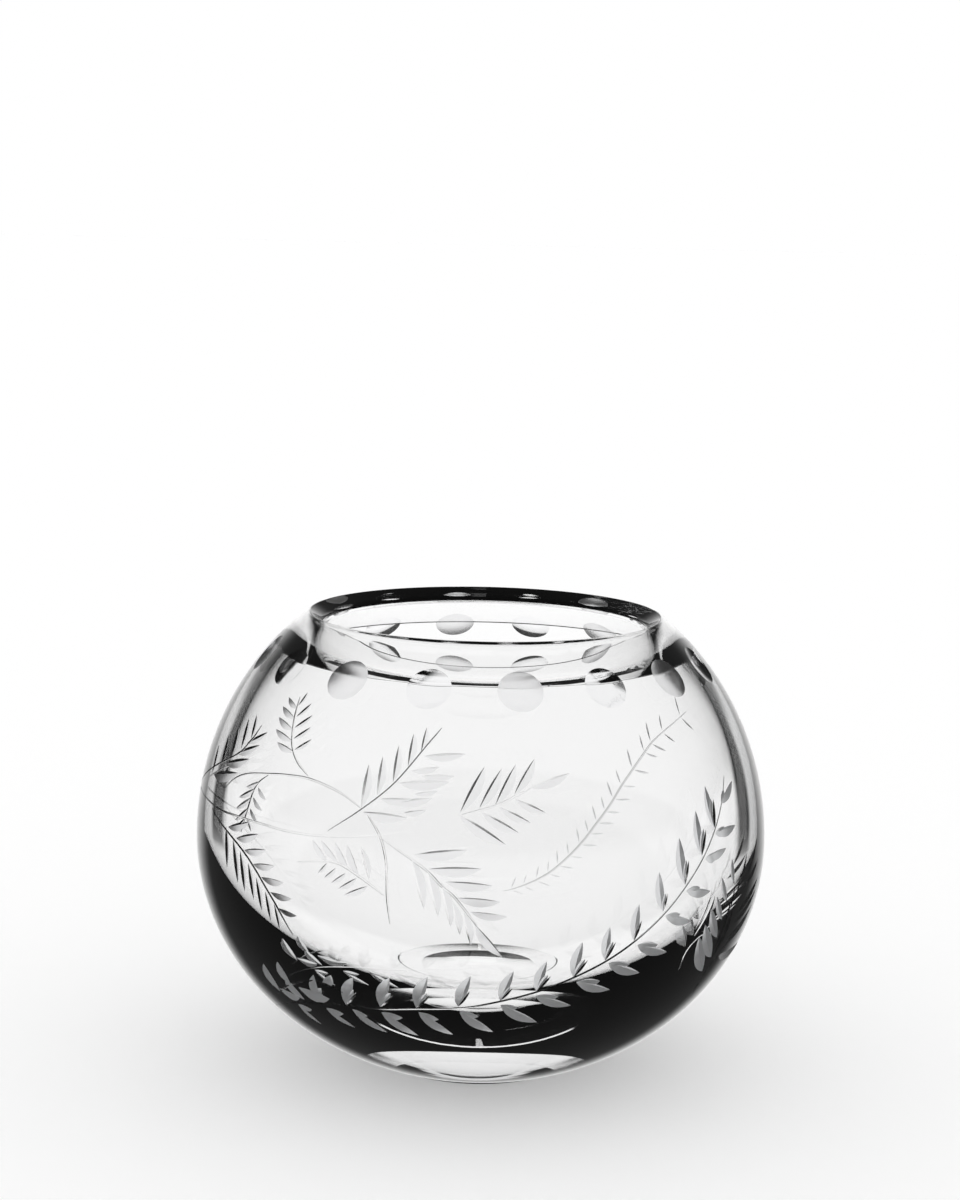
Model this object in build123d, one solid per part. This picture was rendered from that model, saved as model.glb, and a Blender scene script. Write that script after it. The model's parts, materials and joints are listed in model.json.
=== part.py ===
from build123d import *
import os
from math import acos, asin, atan2, cos, degrees, pi, sin, sqrt, tan

# A thick-walled crystal rose bowl in one piece of glass: a blown ball with a turned and
# polished rim, ground flat at the foot and ornamented on the wheel. Millimetres, +Z up. The origin is the
# middle of the foot, on the surface that the bowl stands on. The front faces -Y.

# The blown ball
belly_diameter = 165.0
belly_height = 66.8            # the widest level above the foot
foot_diameter = 58.0

# The mouth: the ball turns over at its rim and slopes down to a rounded inner edge
rim_diameter = 104.0           # where the ball ends and the turn begins
turn_width = 2.0               # the turn, from the ball in to the slope
turn_rise = 0.66
turn_pull = 0.8                # how far the turn keeps to its directions at both ends
slope_width = 2.75
slope_fall = 1.97
mouth_rounding = 1.8

# The lip under the mouth, a cone of thicker glass that swells a little and ends in a fine ledge
lip_angle = 38.0               # degrees below level, at the inner edge
lip_radius = 115.0             # the swell of the lip, seen in section
lip_sweep = 6.0                # degrees of that radius, from the inner edge to the ledge
ledge_depth = 0.3
ledge_width = 0.3

# Wall and base
belly_wall = 7.0               # at the widest level
base_thickness = 15.0          # under the middle of the inside

# The foot, with a shallow hollow ground in it, so that the bowl stands on a ring
punt_diameter = 40.0
punt_depth = 2.0
foot_edge_break = 0.5          # the small bevel on the outer edge of the foot

# The ring of round cuts on the shoulder
punty_count = 8
punty_diameter = 12.4
punty_drop = 10.4              # the middle of a round cut below the rim's outer edge
punty_wheel_diameter = 44.0    # the crown of the wheel that cuts them
punty_turn = 9.0               # degrees from the front to the first round cut

# Radii and levels that follow from the sizes above
ball_radius = belly_diameter / 2
foot_radius = foot_diameter / 2
rim_radius = rim_diameter / 2
hollow_radius = ball_radius - belly_wall
punt_radius = punt_diameter / 2
rim_height = belly_height + sqrt(ball_radius**2 - rim_radius**2)
slope_angle = degrees(atan2(slope_fall, slope_width))
quarter = pi / 2


def oval_below(widest_level, half_width, drop, sweep):
    """The wall below its widest level: a sweep of an oval, from its low end up to that level."""
    low = (half_width * cos(sweep), widest_level - drop * sin(sweep))
    pull = 4 / 3 * tan(sweep / 4)
    return Bezier(
        low,
        (low[0] + pull * half_width * sin(sweep), low[1] + pull * drop * cos(sweep)),
        (half_width, widest_level - pull * drop),
        (half_width, widest_level),
    )


def rim_turn():
    """The rounded turn from the ball, at the rim's outer edge, over to the slope."""
    ball_end = Vector(rim_radius, rim_height)
    slope_start = ball_end + Vector(-turn_width, turn_rise)
    up_the_ball = Vector(belly_height - rim_height, rim_radius).normalized()
    up_the_slope = Vector(slope_width, slope_fall).normalized()
    return Bezier(
        ball_end,
        ball_end + up_the_ball * turn_pull,
        slope_start + up_the_slope * turn_pull,
        slope_start,
    )


def wall_section():
    """Half section of the glass in the XZ plane, from the axis round to the axis.

    Outside and inside are balls above their widest levels and flattened ovals below them.
    """
    # How far round the outside goes before it meets the foot's bevel and the rim
    foot_sweep = acos(foot_radius / ball_radius)
    outside_drop = (belly_height - foot_edge_break) / sin(foot_sweep)
    rim_angle = degrees(asin((rim_height - belly_height) / ball_radius))

    with BuildSketch(Plane.XZ) as section:
        with BuildLine():
            punt = RadiusArc(
                (0, punt_depth),
                (punt_radius, 0),
                (punt_radius**2 + punt_depth**2) / (2 * punt_depth),
            )
            stand = Line(punt @ 1, (foot_radius - foot_edge_break, 0))
            bowl_under = oval_below(belly_height, ball_radius, outside_drop, foot_sweep)
            Line(stand @ 1, bowl_under @ 0)
            CenterArc((0, belly_height), ball_radius, 0, rim_angle)

            turn = rim_turn()
            slope = Line(turn @ 1, turn @ 1 - Vector(slope_width, slope_fall))
            edge_sweep = 180 - slope_angle - lip_angle
            inner_edge = JernArc(slope @ 1, slope % 1, mouth_rounding, edge_sweep)
            lip = JernArc(inner_edge @ 1, inner_edge % 1, lip_radius, lip_sweep)
            ledge_rise = Line(lip @ 1, lip @ 1 - Vector(0, ledge_depth))
            ledge = Line(ledge_rise @ 1, ledge_rise @ 1 + Vector(ledge_width, 0))

            # The hollow's ball is set so that it reaches the ledge
            reach = sqrt(hollow_radius**2 - (ledge @ 1).X ** 2)
            hollow_height = (ledge @ 1).Y - reach
            CenterArc((0, hollow_height), hollow_radius, 0, degrees(asin(reach / hollow_radius)))
            inside_drop = hollow_height - base_thickness
            hollow_under = oval_below(hollow_height, hollow_radius, inside_drop, quarter)
            Line(hollow_under @ 0, punt @ 0)
        make_face()
    return section.sketch


def punty_cutters():
    """Crowned wheels that sink one round cut each into the shoulder."""
    cut_radius = punty_diameter / 2
    wheel_radius = punty_wheel_diameter / 2
    rise = asin((rim_height - punty_drop - belly_height) / ball_radius)
    reach = sqrt(ball_radius**2 - cut_radius**2) + sqrt(wheel_radius**2 - cut_radius**2)
    for number in range(punty_count):
        turn = punty_turn + 360 * number / punty_count
        centre = (reach * cos(rise), 0, belly_height + reach * sin(rise))
        # The seam of each wheel's ball is turned away from the cut
        yield Rot(Z=turn) * Rot(Z=degrees(-quarter)) * Location(centre) * Sphere(wheel_radius)


glass_bowl = revolve(wall_section(), axis=Axis.Z)
for cutter in punty_cutters():
    glass_bowl -= cutter

os.makedirs("parts", exist_ok=True)
export_step(glass_bowl, "parts/glass_bowl.step")
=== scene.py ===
import json
from math import acos, asin, atan2, cos, pi, radians, sin, sqrt, tan

import bmesh
import bpy
import numpy as np
from mathutils import Matrix, Vector

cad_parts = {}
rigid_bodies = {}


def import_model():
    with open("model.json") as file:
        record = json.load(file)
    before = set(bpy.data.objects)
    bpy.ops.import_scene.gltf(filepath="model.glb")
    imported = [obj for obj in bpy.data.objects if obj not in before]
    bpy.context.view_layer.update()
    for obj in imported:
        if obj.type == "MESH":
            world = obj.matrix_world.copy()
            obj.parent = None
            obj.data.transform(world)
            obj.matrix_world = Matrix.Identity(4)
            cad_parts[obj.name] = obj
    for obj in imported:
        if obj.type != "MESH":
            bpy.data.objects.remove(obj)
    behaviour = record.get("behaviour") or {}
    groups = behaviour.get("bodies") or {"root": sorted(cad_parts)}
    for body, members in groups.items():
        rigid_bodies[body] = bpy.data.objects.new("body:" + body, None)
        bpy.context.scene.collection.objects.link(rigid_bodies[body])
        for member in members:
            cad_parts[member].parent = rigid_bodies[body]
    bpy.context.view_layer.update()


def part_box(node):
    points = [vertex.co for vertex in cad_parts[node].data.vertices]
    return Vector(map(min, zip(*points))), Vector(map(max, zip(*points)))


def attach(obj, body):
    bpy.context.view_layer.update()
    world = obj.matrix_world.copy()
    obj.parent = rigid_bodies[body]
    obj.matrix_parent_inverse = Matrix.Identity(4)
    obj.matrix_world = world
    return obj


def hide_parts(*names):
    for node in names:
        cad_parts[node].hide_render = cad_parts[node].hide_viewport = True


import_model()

# The camera
# A long lens looks a little down on the bowl from the front. The bowl stands low in the
# picture, so the camera is aimed over it, with no shift of the lens.
image_width = 960
image_height = 1200
lens_pixels = 2530.0
ball_centre_pixel = (480.6, 831.5)
camera_distance_share = 9.0
camera_elevation = radians(13.9)
camera_roll = radians(1.3)
sensor_size = 36.0
aim_rounds = 6

low_corner, high_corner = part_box("glass_bowl")
ball_radius = (high_corner.x - low_corner.x) / 2
belly_height = 0.0668
ball_centre = Vector((0, 0, belly_height))

camera_data = bpy.data.cameras.new("camera")
camera_data.sensor_width = sensor_size
camera_data.lens = lens_pixels * sensor_size / image_height
camera = bpy.data.objects.new("camera", camera_data)
bpy.context.scene.collection.objects.link(camera)
bpy.context.scene.camera = camera

stand_back = Vector((0, -cos(camera_elevation), sin(camera_elevation)))
camera_place = ball_centre + stand_back * camera_distance_share * ball_radius
camera_pose = (
    Matrix.Translation(camera_place)
    @ Matrix.Rotation(pi / 2 - camera_elevation, 4, "X")
    @ Matrix.Rotation(camera_roll, 4, "Z")
)
for aim in range(aim_rounds):
    seen = camera_pose.inverted() @ ball_centre
    across = image_width / 2 - lens_pixels * seen.x / seen.z
    down = image_height / 2 + lens_pixels * seen.y / seen.z
    turn_across = Matrix.Rotation((ball_centre_pixel[0] - across) / lens_pixels, 4, "Y")
    turn_down = Matrix.Rotation((ball_centre_pixel[1] - down) / lens_pixels, 4, "X")
    camera_pose = camera_pose @ turn_across @ turn_down
camera.matrix_world = camera_pose


# The glass bowl
# One thick wall of lead crystal, blown as a ball, flattened underneath and polished. At the
# mouth the ball turns over into a slope, with a lip of thicker glass under it that ends in a
# fine ledge. The foot is ground flat, with a shallow hollow in it.
foot_radius = 0.0290
foot_break = 0.0005
punt_radius = 0.0200
punt_depth = 0.0020
punt_rings = 8
rim_radius = 0.0520
turn_width = 0.0020
turn_rise = 0.00066
turn_pull = 0.0008
slope_width = 0.00275
slope_fall = 0.00197
mouth_rounding = 0.0018
lip_angle = radians(38)
lip_radius = 0.1150
lip_sweep = radians(6)
ledge_depth = 0.0003
ledge_width = 0.0003
belly_wall = 0.0070
base_thickness = 0.0150
round_steps = 256
ball_rings = 96
turn_rings = 16
edge_rings = 20
lip_rings = 12
cut_sharpness = 1e-6
nearness = 0.00003

rim_height = belly_height + sqrt(ball_radius**2 - rim_radius**2)
outside_drop = (belly_height - foot_break) / sin(acos(foot_radius / ball_radius))


def follow_arc(start, heading, radius, sweep, rings):
    """Points after start along an arc that turns left, and the heading at its end."""
    centre = start + Vector((-sin(heading), cos(heading))) * radius
    points = []
    for ring in range(1, rings + 1):
        turned = heading + sweep * ring / rings
        points.append(centre + Vector((sin(turned), -cos(turned))) * radius)
    return points, heading + sweep


def rim_section():
    """Radius and level of each ring from the ball's upper end over the rim to the ledge."""
    ball_end = Vector((rim_radius, rim_height))
    slope_start = ball_end + Vector((-turn_width, turn_rise))
    slope = Vector((slope_width, slope_fall))
    pulled = (
        ball_end,
        ball_end + Vector((belly_height - rim_height, rim_radius)).normalized() * turn_pull,
        slope_start + slope.normalized() * turn_pull,
        slope_start,
    )
    section = []
    for ring in range(1, turn_rings + 1):
        t = ring / turn_rings
        shares = ((1 - t) ** 3, 3 * t * (1 - t) ** 2, 3 * t**2 * (1 - t), t**3)
        section.append(sum((p * share for p, share in zip(pulled, shares)), Vector((0, 0))))
    section.append(slope_start - slope)
    heading = pi + atan2(slope_fall, slope_width)
    edge, heading = follow_arc(
        section[-1], heading, mouth_rounding, 2 * pi - lip_angle - heading, edge_rings
    )
    lip, heading = follow_arc(edge[-1], heading, lip_radius, lip_sweep, lip_rings)
    section += edge + lip
    section.append(section[-1] - Vector((0, ledge_depth)))
    section.append(section[-1] + Vector((ledge_width, 0)))
    return section


section = rim_section()
ledge_radius, ledge_level = section[-1]
hollow_radius = ball_radius - belly_wall
hollow_height = ledge_level - sqrt(hollow_radius**2 - ledge_radius**2)
hollow_centre = Vector((0, 0, hollow_height))
inside_drop = hollow_height - base_thickness


def select_places(test, open_only=False):
    """Selects the points of the mesh in edit mode whose place passes the test."""
    mesh = bmesh.from_edit_mesh(bpy.context.object.data)
    for point in mesh.verts:
        point.select_set(bool(test(point.co)) and (point.is_boundary or not open_only))
    mesh.select_flush(True)
    mesh.select_flush(False)
    bmesh.update_edit_mesh(bpy.context.object.data)


def blow_ball(name, centre, radius, drop, cut_above, cut_below):
    """A ball about centre, flattened to drop below it, cut off level above and below."""
    bpy.ops.object.select_all(action="DESELECT")
    bpy.ops.mesh.primitive_uv_sphere_add(
        segments=round_steps, ring_count=ball_rings, radius=radius, location=centre
    )
    ball = bpy.context.object
    ball.name = name
    bpy.ops.object.transform_apply(location=True, rotation=False, scale=False)
    bpy.ops.object.mode_set(mode="EDIT")
    bpy.ops.mesh.select_mode(type="VERT")
    select_places(lambda place: place.z < centre.z - nearness)
    bpy.ops.transform.resize(value=(1, 1, drop / radius), center_override=centre)
    bpy.ops.mesh.select_all(action="SELECT")
    bpy.ops.mesh.bisect(
        plane_co=(0, 0, cut_above), plane_no=(0, 0, 1), clear_outer=True, threshold=cut_sharpness
    )
    if cut_below is not None:
        bpy.ops.mesh.select_all(action="SELECT")
        bpy.ops.mesh.bisect(
            plane_co=(0, 0, cut_below),
            plane_no=(0, 0, 1),
            clear_inner=True,
            threshold=cut_sharpness,
        )
    bpy.ops.object.mode_set(mode="OBJECT")
    return ball


def draw_ring(level, from_radius, to_radius, to_level):
    """Extrudes the open ring that lies at one level and radius to another level and radius."""
    select_places(
        lambda place: abs(place.z - level) < nearness
        and abs(place.xy.length - from_radius) < nearness,
        open_only=True,
    )
    size = to_radius / from_radius
    bpy.ops.mesh.extrude_edges_move()
    bpy.ops.transform.resize(value=(size, size, 1), center_override=(0, 0, level))
    bpy.ops.transform.translate(value=(0, 0, to_level - level))


hollow = blow_ball("hollow", hollow_centre, hollow_radius, inside_drop, ledge_level, None)
bowl = blow_ball(
    "cut_glass_bowl", ball_centre, ball_radius, outside_drop, rim_height, foot_break
)
bpy.ops.object.mode_set(mode="EDIT")
ring_radius, ring_level = rim_radius, rim_height
for next_radius, next_level in section:
    draw_ring(ring_level, ring_radius, next_radius, next_level)
    ring_radius, ring_level = next_radius, next_level
draw_ring(foot_break, foot_radius, foot_radius - foot_break, 0)
draw_ring(0, foot_radius - foot_break, punt_radius, 0)
punt_crown = (punt_radius**2 + punt_depth**2) / (2 * punt_depth)
ring_radius, ring_level = punt_radius, 0
for ring in range(1, punt_rings):
    next_radius = punt_radius * (1 - ring / punt_rings)
    next_level = punt_depth - punt_crown + sqrt(punt_crown**2 - next_radius**2)
    draw_ring(ring_level, ring_radius, next_radius, next_level)
    ring_radius, ring_level = next_radius, next_level
bpy.ops.mesh.extrude_edges_move()
bpy.ops.transform.translate(value=(0, 0, punt_depth - ring_level))
bpy.ops.mesh.merge(type="CENTER")
bpy.ops.object.mode_set(mode="OBJECT")

bpy.ops.object.select_all(action="DESELECT")
hollow.select_set(True)
bowl.select_set(True)
bpy.context.view_layer.objects.active = bowl
bpy.ops.object.join()
bpy.ops.object.mode_set(mode="EDIT")
select_places(
    lambda place: abs(place.z - ledge_level) < nearness
    and abs(place.xy.length - ledge_radius) < nearness,
    open_only=True,
)
bpy.ops.mesh.remove_doubles(threshold=nearness)
bpy.ops.mesh.select_all(action="SELECT")
bpy.ops.mesh.normals_make_consistent(inside=False)
bpy.ops.object.mode_set(mode="OBJECT")


# The round cuts
# Sixteen shallow round cuts, called punties, in a ring on the shoulder. Each is a dished disc,
# ground with a crowned wheel that is pressed straight in. Every second one keeps the soft
# surface that the wheel leaves, and those between them are polished clear again.
punty_count = 16
punty_radius = 0.0062
punty_drop = 0.0104
punty_wheel_radius = 0.0220
punty_turn = radians(9.0)
punty_wheel_steps = 160

cutters = bpy.data.collections.new("cutters")
bpy.context.scene.collection.children.link(cutters)

# The polished wall, and the four finishes that the wheels leave
crystal = bpy.data.materials.new("polished_crystal")
satin = bpy.data.materials.new("satin_cut")
keen = bpy.data.materials.new("keen_cut")
soft = bpy.data.materials.new("soft_cut")
clear = bpy.data.materials.new("clear_cut")


def hand_over(cutter, finish):
    """Puts a finished cutter among the cutters, and gives its finish to what it cuts."""
    cutter.data.materials.clear()
    cutter.data.materials.append(finish)
    for collection in list(cutter.users_collection):
        collection.objects.unlink(cutter)
    cutters.objects.link(cutter)


punty_rise = asin((rim_height - punty_drop - belly_height) / ball_radius)
punty_reach = sqrt(ball_radius**2 - punty_radius**2)
punty_reach += sqrt(punty_wheel_radius**2 - punty_radius**2)
bpy.ops.object.select_all(action="DESELECT")
bpy.ops.mesh.primitive_uv_sphere_add(
    segments=punty_wheel_steps, ring_count=punty_wheel_steps // 2, radius=punty_wheel_radius
)
punty_wheel = bpy.context.object
for number in range(punty_count):
    turn = punty_turn + 2 * pi * number / punty_count
    outward = Vector((sin(turn) * cos(punty_rise), -cos(turn) * cos(punty_rise), sin(punty_rise)))
    cutter = punty_wheel.copy()
    cutter.data = punty_wheel.data.copy()
    cutter.data.transform(Matrix.Translation(ball_centre + outward * punty_reach))
    cutter.name = f"punty_wheel_{number + 1}"
    bpy.context.scene.collection.objects.link(cutter)
    hand_over(cutter, clear if number % 2 else soft)
bpy.data.objects.remove(punty_wheel)


# The stems
# Long fine lines, drawn on the glass with the edge of a small copper wheel. They are a little
# over half a millimetre wide, run smoothly from point to point and thin out at both ends.
stem_half_width = 0.00033
stem_steps = 6
stem_roundness = 1
stem_end_share = 0.45
stem_taper_share = 0.2
stem_merge_share = 0.02


def on_ball(pixel, far=False):
    """The point of the bowl's outside that the camera sees at a pixel, in front or behind."""
    eye = camera_pose.translation
    sight = Vector(
        (
            (pixel[0] - image_width / 2) / lens_pixels,
            (image_height / 2 - pixel[1]) / lens_pixels,
            -1,
        )
    )
    sight = (camera_pose.to_3x3() @ sight).normalized()
    for drop in (ball_radius, outside_drop):
        # In a space where the oval is a ball of radius 1
        shape = Vector((1 / ball_radius, 1 / ball_radius, 1 / drop))
        start = (eye - ball_centre) * shape
        way = sight * shape
        middle = -start.dot(way) / way.dot(way)
        miss = start + way * middle
        half = sqrt(max(0, 1 - miss.dot(miss)) / way.dot(way))
        place = eye + sight * (middle + half if far else middle - half)
        if (place.z > belly_height) == (drop == ball_radius):
            return place
    return place


def onto_ball(place):
    """The place on the outside of the bowl that lies over or under a place near it."""
    arm = place - ball_centre
    drop = ball_radius if arm.z > 0 else outside_drop
    shape = Vector((1 / ball_radius, 1 / ball_radius, 1 / drop))
    return ball_centre + arm / (arm * shape).length


def outward_at(place):
    """The direction that the outside of the bowl faces at a place on it."""
    arm = place - ball_centre
    drop = ball_radius if arm.z > 0 else outside_drop
    return (arm * Vector((1 / ball_radius**2, 1 / ball_radius**2, 1 / drop**2))).normalized()


def smooth_line(places):
    """A smooth line on the ball through the places, as many short steps."""
    ends = [places[0] * 2 - places[1], *places, places[-1] * 2 - places[-2]]
    line = []
    for a, b, c, d in zip(ends, ends[1:], ends[2:], ends[3:]):
        for step in range(stem_steps):
            t = step / stem_steps
            spot = b * 2 + (c - a) * t
            spot += (a * 2 - b * 5 + c * 4 - d) * t**2 + (b * 3 - a - c * 3 + d) * t**3
            line.append(onto_ball(spot / 2))
    return line + [places[-1]]


def cut_stem(places):
    """Draws one stem along a line on the ball, thinning out at its ends."""
    line = smooth_line(places)
    curve = bpy.data.curves.new("stem_wheel", "CURVE")
    curve.dimensions = "3D"
    curve.bevel_depth = stem_half_width
    curve.bevel_resolution = stem_roundness
    curve.use_fill_caps = True
    spline = curve.splines.new("POLY")
    spline.points.add(len(line) - 1)
    for number, (point, place) in enumerate(zip(spline.points, line)):
        point.co = (*place, 1)
        share = number / (len(line) - 1)
        fullness = min(1, share / stem_taper_share, (1 - share) / stem_taper_share)
        point.radius = stem_end_share + (1 - stem_end_share) * fullness
    stem = bpy.data.objects.new("stem_wheel", curve)
    bpy.context.scene.collection.objects.link(stem)
    bpy.ops.object.select_all(action="DESELECT")
    stem.select_set(True)
    bpy.context.view_layer.objects.active = stem
    bpy.ops.object.convert(target="MESH")
    stem = bpy.context.object
    bpy.ops.object.mode_set(mode="EDIT")
    bpy.ops.mesh.select_all(action="SELECT")
    bpy.ops.mesh.remove_doubles(threshold=stem_half_width * stem_merge_share)
    bpy.ops.mesh.normals_make_consistent(inside=False)
    bpy.ops.object.mode_set(mode="OBJECT")
    hand_over(stem, keen)
    return line


# The leaf cuts
# Each leaf is one touch of a mitred stone wheel: a boat-shaped cut with a narrow steep side,
# which shows as a dark needle, and a wide shallow side, which shows as a soft light fan.
shallow_slope = radians(17)
steep_slope = radians(52)
leaf_steps = 12
least_depth_share = 1.3
wheel_reach_share = 1.5
wheel_turn_share = 0.6
most_turn_share = 0.95
side_facing_share = 0.5


def cut_leaf(
    base, tip, width, steep_left, shallow=shallow_slope, steep=steep_slope, finishes=(soft, keen)
):
    """One touch of the wheel from base to tip, its steep side left or right, in two finishes."""
    length = (tip - base).length
    middle = onto_ball((base + tip) / 2)
    outward = outward_at(middle)
    along = (tip - base).normalized()
    along = (along - outward * along.dot(outward)).normalized()
    if steep_left:
        along.negate()
    across = outward.cross(along)
    fall = length**2 / (8 * ball_radius)
    depth = max(width / (1 / tan(shallow) + 1 / tan(steep)), least_depth_share * fall)
    wheel_radius = length**2 / (8 * (depth - fall))
    shallow_reach = wheel_reach_share * depth / tan(shallow)
    steep_reach = wheel_reach_share * depth / tan(steep)
    bpy.ops.object.select_all(action="DESELECT")
    bpy.ops.mesh.primitive_circle_add(vertices=3, radius=depth, fill_type="NGON")
    wheel = bpy.context.object
    corners = (
        (0, 0, -wheel_radius),
        (0, shallow_reach, -wheel_radius + shallow_reach * tan(shallow)),
        (0, -steep_reach, -wheel_radius + steep_reach * tan(steep)),
    )
    half_turn = asin(min(most_turn_share, wheel_turn_share * length / wheel_radius))
    back = Matrix.Rotation(half_turn, 3, "Y")
    for point, corner in zip(wheel.data.vertices, corners):
        point.co = back @ Vector(corner)
    bpy.ops.object.mode_set(mode="EDIT")
    bpy.ops.mesh.select_all(action="SELECT")
    bpy.ops.mesh.spin(
        steps=leaf_steps, angle=2 * half_turn, center=(0, 0, 0), axis=(0, 1, 0)
    )
    bpy.ops.mesh.select_all(action="SELECT")
    bpy.ops.mesh.normals_make_consistent(inside=False)
    bpy.ops.object.mode_set(mode="OBJECT")
    hand_over(wheel, finishes[0])
    wheel.data.materials.append(finishes[1])
    for face in wheel.data.polygons:
        at_end = abs(face.normal.x) > side_facing_share
        steep_face = face.normal.y < -side_facing_share * sin(steep) and not at_end
        face.material_index = int(steep_face)
    place = Matrix((along, across, outward)).transposed().to_4x4()
    place.translation = middle + outward * (wheel_radius - depth)
    wheel.data.transform(place)


# The fern fronds
# Fronds of narrow leaf cuts on both sides of a stem, drawn freely over the front and the left
# side and once behind. Their places are the pixels of the picture at which they are seen.
leaf_width_share = 0.18
steep_facing = (0.35, 1)
leaf_least_width = 0.0004

tendrils = (
    (
        (225, 788), (234, 779), (247, 774), (270, 774), (287, 775), (310, 779), (339, 792),
        (361, 808),
    ),
    (
        (201, 786), (218, 808), (237, 816), (262, 824), (291, 832), (323, 836), (367, 836),
        (400, 833),
    ),
    ((366, 812), (380, 837), (386, 864), (387, 897), (390, 924)),
)
tall_frond = (
    ((328, 831), (361, 810), (396, 782), (432, 740), (442, 728)),
    (
        ((361, 809), (369, 764)),
        ((377, 796), (383, 756)),
        ((393, 783), (399, 745)),
        ((408, 767), (414, 733)),
        ((421, 753), (427, 727)),
    ),
    (
        ((362, 812), (408, 818)),
        ((403, 813), (427, 810)),
        ((380, 799), (418, 800)),
        ((393, 803), (433, 798)),
        ((398, 783), (450, 782)),
        ((414, 794), (438, 791)),
        ((411, 771), (440, 767)),
        ((421, 776), (455, 776)),
        ((424, 756), (466, 754)),
    ),
)
drooping_frond = (
    ((381, 838), (412, 860), (428, 872), (441, 886), (455, 898), (473, 921), (478, 928)),
    (
        ((411, 857), (424, 909)),
        ((427, 869), (438, 917)),
        ((441, 882), (451, 928)),
        ((452, 900), (460, 936)),
        ((463, 911), (471, 946)),
    ),
    (
        ((413, 855), (468, 850)),
        ((428, 869), (482, 869)),
        ((445, 882), (493, 886)),
        ((456, 898), (501, 902)),
        ((470, 912), (508, 917)),
        ((474, 924), (503, 958)),
    ),
)
low_frond = (
    ((298, 862), (333, 862), (358, 876), (385, 896)),
    (
        ((328, 862), (312, 839)),
        ((338, 862), (321, 840)),
        ((349, 870), (335, 842)),
        ((359, 877), (347, 844)),
        ((369, 880), (361, 847)),
    ),
    (
        ((327, 863), (318, 873)),
        ((336, 868), (324, 878)),
        ((346, 873), (331, 883)),
        ((357, 878), (338, 889)),
        ((368, 886), (344, 895)),
    ),
)
edge_frond = (
    ((212, 808), (243, 851), (270, 895), (293, 935)),
    (
        ((226, 826), (227, 868)),
        ((233, 839), (238, 884)),
        ((240, 850), (245, 893)),
        ((248, 862), (254, 901)),
        ((256, 876), (262, 912)),
        ((265, 890), (271, 922)),
        ((274, 903), (280, 930)),
    ),
    (
        ((228, 827), (250, 822)),
        ((236, 838), (259, 834)),
        ((244, 850), (266, 850)),
        ((253, 864), (275, 866)),
        ((261, 877), (284, 883)),
        ((270, 892), (292, 899)),
        ((278, 908), (297, 916)),
    ),
)
shoulder_frond = (
    ((201, 782), (232, 757), (251, 740), (262, 725)),
    (
        ((212, 774), (219, 744)),
        ((221, 766), (229, 734)),
        ((231, 758), (239, 726)),
        ((241, 749), (249, 718)),
        ((251, 739), (257, 714)),
    ),
    (
        ((214, 774), (238, 773)),
        ((226, 763), (250, 759)),
        ((237, 753), (260, 745)),
        ((247, 743), (268, 732)),
    ),
)
upright_frond = (
    ((308, 776), (297, 761), (292, 744), (294, 720), (300, 697)),
    (
        ((294, 752), (277, 742)),
        ((292, 741), (276, 729)),
        ((293, 730), (279, 717)),
        ((295, 719), (283, 706)),
        ((297, 709), (289, 697)),
    ),
    (
        ((294, 750), (312, 739)),
        ((293, 739), (311, 727)),
        ((294, 728), (313, 715)),
        ((296, 717), (312, 703)),
        ((298, 706), (308, 692)),
    ),
)
hanging_frond = (
    ((270, 774), (256, 786), (247, 811), (241, 832)),
    (
        ((261, 781), (246, 787)),
        ((256, 788), (239, 797)),
        ((252, 797), (236, 808)),
        ((249, 807), (235, 820)),
        ((246, 817), (234, 830)),
    ),
    (
        ((258, 787), (266, 800)),
        ((253, 797), (262, 811)),
        ((250, 808), (257, 822)),
        ((247, 819), (251, 832)),
    ),
)
lone_frond = (
    ((462, 815), (495, 806), (512, 798), (534, 787)),
    (
        ((460, 813), (485, 766)),
        ((479, 809), (502, 768)),
        ((495, 806), (516, 764)),
        ((514, 795), (535, 758)),
        ((530, 788), (570, 773)),
    ),
    (
        ((459, 815), (506, 845)),
        ((481, 812), (519, 833)),
        ((499, 807), (531, 823)),
        ((515, 799), (546, 813)),
    ),
)
back_stem = (
    (505, 917), (528, 909), (551, 897), (570, 881), (590, 859), (605, 838),
    (620, 816), (635, 790), (657, 758), (672, 740), (705, 710),
)
back_leaf_count = 17
back_leaf_length = 0.0082
back_leaf_lean = radians(54)
back_leaf_slimness = 0.5
back_leaf_growth = 0.3
back_leaf_start_share = 0.6
back_leaf_short_share = 0.84


def leaf_width(base, tip):
    """The width of a leaf cut that reaches from base to tip."""
    return leaf_least_width + leaf_width_share * (tip - base).length


def steep_on_left(start, end):
    """Whether a cut between two pixels needs its steep side on its left to face down right."""
    return (start[1] - end[1]) * steep_facing[0] + (end[0] - start[0]) * steep_facing[1] > 0


for tendril in tendrils:
    cut_stem([on_ball(pixel) for pixel in tendril])
for stem, left_leaves, right_leaves in (
    tall_frond,
    drooping_frond,
    low_frond,
    edge_frond,
    shoulder_frond,
    upright_frond,
    hanging_frond,
    lone_frond,
):
    cut_stem([on_ball(pixel) for pixel in stem])
    for leaf in left_leaves + right_leaves:
        base, tip = (on_ball(pixel) for pixel in leaf)
        cut_leaf(base, tip, leaf_width(base, tip), steep_on_left(*leaf))

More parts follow.
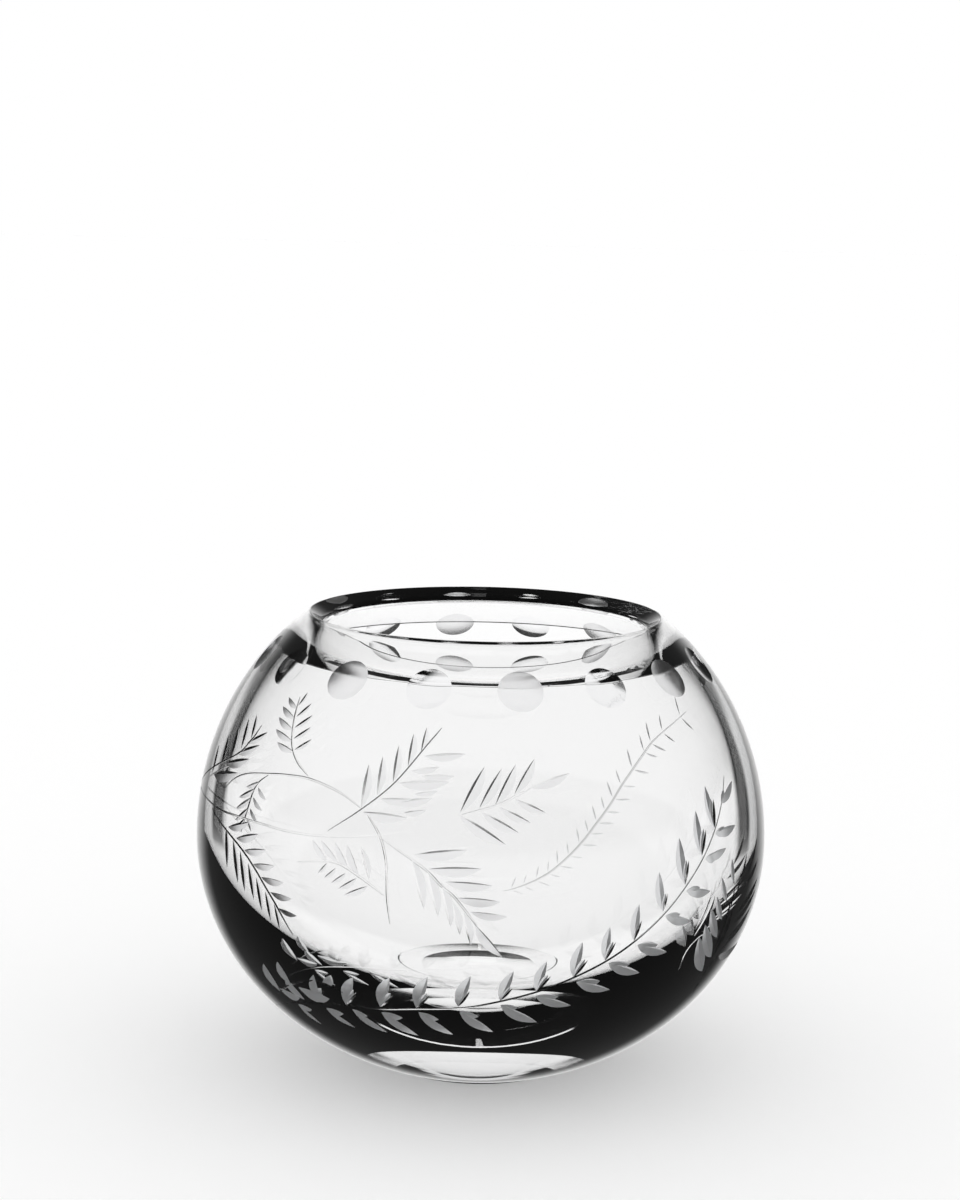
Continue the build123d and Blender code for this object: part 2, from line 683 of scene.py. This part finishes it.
# Behind, pairs of slim leaves that grow towards the stem's end, every second pair shorter
back_line = cut_stem([on_ball(pixel, far=True) for pixel in back_stem])
for number in range(back_leaf_count):
    share = (number + back_leaf_start_share) / back_leaf_count
    spot = share * (len(back_line) - 1)
    behind, before = back_line[int(spot)], back_line[int(spot) + 1]
    start = behind.lerp(before, spot % 1)
    ahead = (before - behind).normalized()
    reach = back_leaf_length * (1 - back_leaf_growth * (1 - share))
    if number % 2:
        reach *= back_leaf_short_share
    for side in (-1, 1):
        way = Matrix.Rotation(side * back_leaf_lean, 3, outward_at(start)) @ ahead
        base = onto_ball(start + way * 2 * stem_half_width)
        tip = onto_ball(start + way * reach)
        width = back_leaf_slimness * leaf_width(base, tip)
        cut_leaf(base, tip, width, side < 0, finishes=(soft, satin))


# The garland
# A leafy spray that swings round the bottom of the bowl and climbs its right side. Each leaf
# is two broad satin touches of the wheel from one base, to its tip and to its corner, and
# above the stem a fine dark needle too. Its places are pixels of the picture as well.
garland_stem = (
    (276, 1005), (285, 1003), (306, 1002), (345, 1005), (379, 1009), (417, 1009), (463, 1008),
    (498, 1002), (540, 991), (573, 978), (605, 962), (634, 942), (664, 914), (686, 886),
    (704, 856), (716, 826), (722, 800), (724, 776),
)
side_stem = ((277, 994), (290, 985), (309, 981), (327, 985), (345, 994))
upper_leaves = (
    ((318, 1001), (315, 975), (324, 990)),
    ((346, 1005), (355, 978), (357, 992)),
    ((380, 1007), (392, 978), (394, 995)),
    ((416, 1008), (430, 977), (430, 995)),
    ((458, 1007), (473, 976), (470, 991)),
    ((500, 1001), (516, 971), (513, 988)),
    ((536, 992), (549, 961), (551, 976)),
    ((573, 978), (585, 941), (588, 960)),
    ((605, 961), (612, 926), (616, 942)),
    ((634, 941), (641, 903), (642, 920)),
    ((663, 912), (661, 871), (668, 893)),
    ((685, 885), (681, 837), (689, 860)),
    ((702, 856), (697, 810), (706, 829)),
    ((715, 829), (706, 785), (713, 798)),
)
lower_leaves = (
    ((298, 1004), (322, 1024), (311, 1008)),
    ((326, 1008), (356, 1027), (343, 1012)),
    ((352, 1009), (389, 1032), (368, 1015)),
    ((381, 1012), (420, 1035), (403, 1016)),
    ((418, 1012), (455, 1034), (440, 1018)),
    ((459, 1011), (495, 1031), (480, 1015)),
    ((500, 1005), (539, 1021), (519, 1006)),
    ((535, 996), (572, 1004), (559, 994)),
    ((576, 982), (611, 988), (601, 978)),
    ((608, 963), (641, 971), (631, 961)),
    ((637, 945), (668, 950), (659, 941)),
    ((665, 916), (692, 919), (681, 911)),
    ((686, 891), (711, 889), (700, 884)),
    ((705, 859), (726, 846), (717, 850)),
    ((715, 834), (735, 823), (724, 824)),
    ((721, 804), (731, 779), (722, 788)),
)
side_leaves = (
    ((281, 992), (263, 963)), ((291, 985), (277, 961)), ((305, 1000), (284, 977)),
    ((300, 998), (279, 988)), ((330, 999), (298, 987)), ((322, 984), (331, 975)),
)
sheaf_stem = ((690, 998), (700, 980), (710, 965), (721, 954), (736, 945))
sheaf_needles = (
    ((709, 962), (734, 904)), ((712, 952), (728, 912)), ((718, 953), (741, 922)),
    ((724, 944), (747, 916)), ((727, 938), (752, 904)), ((732, 924), (756, 888)),
    ((735, 914), (758, 876)), ((729, 912), (735, 886)), ((735, 900), (741, 870)),
    ((739, 884), (747, 852)), ((748, 872), (757, 836)), ((718, 956), (740, 942)),
    ((743, 888), (758, 858)), ((722, 930), (731, 898)),
)
saw_leaves = (
    ((702, 972), (699, 936)), ((711, 958), (705, 924)), ((717, 938), (711, 908)),
    ((722, 920), (717, 896)), ((727, 902), (722, 877)), ((734, 884), (732, 858)),
)
fan_width_share = 0.28
fan_lean = radians(3)
fan_slope = radians(17)
fan_back_slope = radians(40)
corner_width_share = 0.42
corner_lean = radians(8)
low_fan_width_share = 0.25
low_corner_width_share = 0.5
needle_width_share = 0.13
needle_slope = radians(48)
sheaf_width_share = 0.14
side_leaf_widening = 2


def cut_fan(base, tip, width_share, lean, steep_left=False):
    """A broad satin touch of the wheel from base, turned a little to the left of tip."""
    way = Matrix.Rotation(lean, 3, outward_at(base)) @ (tip - base)
    width = width_share * way.length
    tip = onto_ball(base + way)
    cut_leaf(base, tip, width, steep_left, fan_slope, fan_back_slope, (satin, satin))


def cut_needle(base, tip, width_share, slope):
    """A fine deep touch of the wheel from base to tip, dark on its left."""
    width = width_share * (tip - base).length
    cut_leaf(base, tip, width, True, slope, finishes=(keen, keen))


for stem in (garland_stem, side_stem, sheaf_stem):
    cut_stem([on_ball(pixel) for pixel in stem])
for leaf in upper_leaves:
    base, tip, corner = (on_ball(pixel) for pixel in leaf)
    cut_fan(base, tip, fan_width_share, fan_lean)
    cut_fan(base, corner, corner_width_share, corner_lean)
    cut_needle(base, corner, needle_width_share, needle_slope)
for leaf in lower_leaves:
    base, tip, corner = (on_ball(pixel) for pixel in leaf)
    cut_fan(base, tip, low_fan_width_share, -fan_lean, True)
    cut_fan(base, corner, low_corner_width_share, -corner_lean, True)
for leaf in saw_leaves:
    cut_fan(*(on_ball(pixel) for pixel in leaf), fan_width_share, 0)
for leaf in sheaf_needles:
    cut_needle(*(on_ball(pixel) for pixel in leaf), sheaf_width_share, shallow_slope)
for leaf in side_leaves:
    base, tip = (on_ball(pixel) for pixel in leaf)
    width = side_leaf_widening * leaf_width(base, tip)
    cut_leaf(base, tip, width, steep_on_left(*leaf), finishes=(satin, satin))


# The cutting
# All the wheels are taken out of the blank at once, and each cut keeps the finish of its wheel.
# The rest is polished: there each corner of a face looks along the true curve of the ball.
edge_angle = radians(20)
curve_reach = 0.00003

bowl.data.materials.clear()
bowl.data.materials.append(crystal)
bpy.ops.object.select_all(action="DESELECT")
bowl.select_set(True)
bpy.context.view_layer.objects.active = bowl
grinding = bowl.modifiers.new("grinding", "BOOLEAN")
grinding.operation = "DIFFERENCE"
grinding.solver = "MANIFOLD"
grinding.operand_type = "COLLECTION"
grinding.collection = cutters
grinding.material_mode = "TRANSFER"
bpy.ops.object.modifier_apply(modifier="grinding")
for cutter in list(cutters.objects):
    bpy.data.objects.remove(cutter)
bpy.data.collections.remove(cutters)

bpy.ops.object.mode_set(mode="EDIT")
bpy.ops.mesh.select_mode(type="FACE")
bpy.ops.mesh.select_all(action="DESELECT")
for finish in (satin, keen, soft, clear):
    bowl.active_material_index = bowl.data.materials.find(finish.name)
    bpy.ops.object.material_slot_select()
bpy.ops.mesh.region_to_loop()
bpy.ops.mesh.mark_sharp()
bpy.ops.mesh.select_mode(type="VERT")
bpy.ops.object.mode_set(mode="OBJECT")
bpy.ops.object.shade_smooth_by_angle(angle=edge_angle, keep_sharp_edges=True)


def read(items, field, width, kind):
    """One field of all points, corners or faces as an array."""
    values = np.empty(len(items) * width, kind)
    items.foreach_get(field, values)
    return values.reshape(-1, width) if width > 1 else values


def curve_normals(places, centre, radius, drop, outward):
    """How far places lie from a ball or oval, and the way its curve faces there."""
    arms = places - np.array(centre)
    depth = np.where(arms[:, 2] < 0, drop, radius)
    shape = np.stack((np.full_like(depth, radius), np.full_like(depth, radius), depth), axis=1)
    ways = arms / shape**2
    ways *= outward / np.linalg.norm(ways, axis=1, keepdims=True)
    miss = np.abs(np.linalg.norm(arms / shape, axis=1) - 1) * radius
    return miss, ways


mesh = bowl.data
corner_points = read(mesh.loops, "vertex_index", 1, np.int32)
places = read(mesh.vertices, "co", 3, np.float32)[corner_points].astype(float)
corner_counts = read(mesh.polygons, "loop_total", 1, np.int32)
ground = np.repeat(read(mesh.polygons, "material_index", 1, np.int32), corner_counts) > 0
faced = np.repeat(read(mesh.polygons, "normal", 3, np.float32), corner_counts, axis=0)
middles = np.repeat(read(mesh.polygons, "center", 3, np.float32), corner_counts, axis=0)

# The foot's bevel and the foot are a cone and a plane: their slope is kept, turned to the corner
round_way = places[:, :2] / np.maximum(np.linalg.norm(places[:, :2], axis=1), foot_break)[:, None]
lean = np.sum(faced[:, :2] * round_way, axis=1)
ways = np.concatenate((round_way * lean[:, None], faced[:, 2:]), axis=1)
ways /= np.linalg.norm(ways, axis=1, keepdims=True)
punt_centre = (0, 0, punt_depth - punt_crown)
for centre, radius, drop, outward in (
    (punt_centre, punt_crown, punt_crown, -1),
    (hollow_centre, hollow_radius, inside_drop, -1),
    (ball_centre, ball_radius, outside_drop, 1),
):
    miss, curve_ways = curve_normals(places, centre, radius, drop, outward)
    middle_miss, _ = curve_normals(middles, centre, radius, drop, outward)
    on_curve = (miss < curve_reach) & (middle_miss < curve_reach)
    on_curve &= np.sum(curve_ways * faced, axis=1) > cos(edge_angle)
    ways[on_curve] = curve_ways[on_curve]
# The rim, the lip and the ledge are close rings, so their smooth normals serve
rim_part = (middles[:, 2] > rim_height) | (
    (middles[:, 2] > ledge_level) & (np.linalg.norm(middles[:, :2], axis=1) < ledge_radius)
)
ways[rim_part | ground] = 0
mesh.normals_split_custom_set(ways.tolist())

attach(bowl, "root")
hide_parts("glass_bowl")


# The finishes
# Lead crystal is clear and colourless. The wall is polished until it is like still water, with
# a trace of waviness from the furnace. The garland stays satin, the ferns and the soft round
# cuts let more light through, and stems, needles and clear round cuts are nearly polished.
class Wire:
    """A value in a shader, which adds, multiplies and so on like a number."""

    def __init__(self, tree, socket=None):
        self.tree = tree
        self.socket = socket

    def node(self, kind, output, settings=None, **inputs):
        """A node of any kind, with its settings and the values or wires of its sockets."""
        made = self.tree.nodes.new(kind)
        for name, value in (settings or {}).items():
            setattr(made, name, value)
        for name, value in inputs.items():
            number = int(name[3:]) if name[:3] == "pin" else name.replace("_", " ")
            socket = made.inputs[number]
            if isinstance(value, Wire):
                self.tree.links.new(value.socket, socket)
            else:
                socket.default_value = value
        return Wire(self.tree, made.outputs[output])

    def maths(self, operation, first, second=0.0, clamp=False):
        settings = {"operation": operation, "use_clamp": clamp}
        return self.node("ShaderNodeMath", 0, settings, pin0=first, pin1=second)

    def __add__(self, other):
        return self.maths("ADD", self, other)

    def __radd__(self, other):
        return self.maths("ADD", other, self)

    def __sub__(self, other):
        return self.maths("SUBTRACT", self, other)

    def __rsub__(self, other):
        return self.maths("SUBTRACT", other, self)

    def __mul__(self, other):
        return self.maths("MULTIPLY", self, other)

    def __rmul__(self, other):
        return self.maths("MULTIPLY", other, self)

    def step(self, start, end):
        """0 at start and 1 at end, with a smooth change between them."""
        return self.node(
            "ShaderNodeMapRange",
            0,
            {"interpolation_type": "SMOOTHSTEP"},
            Value=self,
            From_Min=start,
            From_Max=end,
        )


def start_finish(material):
    """A material's principled shader, cleared for use, and a wire in its tree."""
    material.use_nodes = True
    tree = material.node_tree
    return tree.nodes["Principled BSDF"], Wire(tree)


crystal_index = 1.53
wave_scale = 45
wave_height = 0.0003
wave_strength = 0.012
wear_level = 0.0004
wear_roughness = 0.22
wear_scale = 900
satin_light = (0.8, 0.81, 0.82, 1)
satin_dark = (0.68, 0.69, 0.7, 1)
satin_roughness = 0.36
satin_clearness = 0.75
soft_light = (0.96, 0.96, 0.97, 1)
soft_dark = (0.86, 0.86, 0.87, 1)
soft_roughness = 0.34
keen_roughness = 0.16
clear_roughness = 0.08
plain_white = (1, 1, 1, 1)
grain_scale = 2600
grain_share = 0.35
grain_height = 0.00004
grain_strength = 0.25
grain_middle = 0.5
noise_detail = 2.0


def start_crystal(material):
    """A crystal's shader, a wire in its tree and the place on the bowl as a wire."""
    shader, wire = start_finish(material)
    shader.inputs["Base Color"].default_value = plain_white
    shader.inputs["IOR"].default_value = crystal_index
    return shader, wire, wire.node("ShaderNodeTexCoord", "Object")


def noise(wire, place, scale):
    """A soft cloudy pattern about one half, over the places."""
    return wire.node("ShaderNodeTexNoise", 0, Vector=place, Scale=scale, Detail=noise_detail)


def raise_surface(wire, shader, pattern, height, strength):
    """Lets the surface rise and fall a little with a pattern."""
    bump = wire.node("ShaderNodeBump", 0, Height=pattern, Distance=height, Strength=strength)
    wire.tree.links.new(bump.socket, shader.inputs["Normal"])


shader, wire, place = start_crystal(crystal)
shader.inputs["Transmission Weight"].default_value = 1
level = wire.node("ShaderNodeSeparateXYZ", 2, Vector=place)
worn = (1 - level.step(0, wear_level)) * noise(wire, place, wear_scale) * wear_roughness
wire.tree.links.new(worn.socket, shader.inputs["Roughness"])
raise_surface(wire, shader, noise(wire, place, wave_scale), wave_height, wave_strength)

for finish, dark, light, roughness, clearness in (
    (satin, satin_dark, satin_light, satin_roughness, satin_clearness),
    (keen, plain_white, plain_white, keen_roughness, 1),
    (soft, soft_dark, soft_light, soft_roughness, 1),
    (clear, soft_light, soft_light, clear_roughness, 1),
):
    shader, wire, place = start_crystal(finish)
    shader.inputs["Transmission Weight"].default_value = clearness
    grain = noise(wire, place, grain_scale)
    if dark == light:
        shader.inputs["Base Color"].default_value = light
    else:
        settings = {"data_type": "RGBA"}
        tint = wire.node("ShaderNodeMix", 2, settings, pin0=grain, pin6=dark, pin7=light)
        wire.tree.links.new(tint.socket, shader.inputs["Base Color"])
    rough = roughness * (1 + grain_share * (grain - grain_middle))
    wire.tree.links.new(rough.socket, shader.inputs["Roughness"])
    if finish != clear:
        raise_surface(wire, shader, grain, grain_height, grain_strength)


# The studio
# The bowl stands on a plain white table under even white light. Seen in the glass, the table
# ends at the horizon, and a white card stands behind the bowl with a black flag at each side of
# it. These give clear glass its dark edges, as a photographer of glass sets them.
floor_size = 40.0
table_end = (radians(-8), radians(0))
card_side = (radians(13), radians(22))
card_top = (radians(18), radians(26))
flag_side = (radians(28), radians(34))
flag_far_side = (radians(43), radians(49))
flag_foot = (radians(-24), radians(-15))
glow_level = 0.06
glow_side = (radians(58), radians(66))
glow_far_side = (radians(110), radians(125))
glow_foot = (radians(7), radians(14))
mirror_dim = 0.1
mirror_back = (0.72, 0.95)
mirror_top = radians(20)
no_diffuse_yet = 0.5


def studio_rays(wire):
    """How much a ray is one that looks through the glass, and one that the glass mirrors."""

    def light_path(output):
        return wire.node("ShaderNodeLightPath", output)

    seen = wire.maths("LESS_THAN", light_path("Diffuse Depth"), no_diffuse_yet)
    through = light_path("Is Transmission Ray") * seen
    mirrored = light_path("Is Glossy Ray") * (1 - light_path("Is Transmission Ray")) * seen
    return through, mirrored


world = bpy.data.worlds.new("studio")
bpy.context.scene.world = world
world.use_nodes = True
wire = Wire(world.node_tree)
background = world.node_tree.nodes["Background"]
through, mirrored = studio_rays(wire)
direction = wire.node("ShaderNodeTexCoord", "Generated")
side_part, back_part, up_part = (
    wire.node("ShaderNodeSeparateXYZ", axis, Vector=direction) for axis in "XYZ"
)
height_angle = wire.maths("ARCSINE", up_part)
turn_angle = wire.maths("ABSOLUTE", wire.maths("ARCTAN2", side_part, back_part))
table = 1 - height_angle.step(*table_end)
card = (1 - turn_angle.step(*card_side)) * (1 - height_angle.step(*card_top))
glow = turn_angle.step(*glow_side) * (1 - turn_angle.step(*glow_far_side))
glow = glow_level * glow * height_angle.step(*glow_foot)
flag = turn_angle.step(*flag_side) * (1 - turn_angle.step(*flag_far_side))
flag = flag * height_angle.step(*flag_foot)
lit = wire.maths("MAXIMUM", wire.maths("MAXIMUM", table, card), glow)
glass_view = lit * (1 - flag)
mirror_view = back_part.step(*mirror_back) * (1 - height_angle.step(0, mirror_top))
mirror_view = mirror_dim + (1 - mirror_dim) * mirror_view
level = 1 - through * (1 - glass_view) - mirrored * (1 - mirror_view)
world.node_tree.links.new(level.socket, background.inputs["Strength"])
background.inputs["Color"].default_value = plain_white

bpy.ops.object.select_all(action="DESELECT")
bpy.ops.mesh.primitive_plane_add(size=floor_size)
floor = bpy.context.object
floor.name = "floor"
floor_paint = bpy.data.materials.new("white_floor")
floor.data.materials.append(floor_paint)
shader, wire = start_finish(floor_paint)
shader.inputs["Base Color"].default_value = plain_white
shader.inputs["Roughness"].default_value = 1
shader.inputs["Specular IOR Level"].default_value = 0
through, mirrored = studio_rays(wire)
open_floor = wire.node("ShaderNodeBsdfTransparent", 0)
painted = Wire(floor_paint.node_tree, shader.outputs[0])
share = wire.maths("ADD", through, mirrored, clamp=True)
surface = wire.node("ShaderNodeMixShader", 0, pin0=share, pin1=painted, pin2=open_floor)
output = floor_paint.node_tree.nodes["Material Output"]
floor_paint.node_tree.links.new(surface.socket, output.inputs["Surface"])

bpy.context.scene.view_settings.view_transform = "Standard"
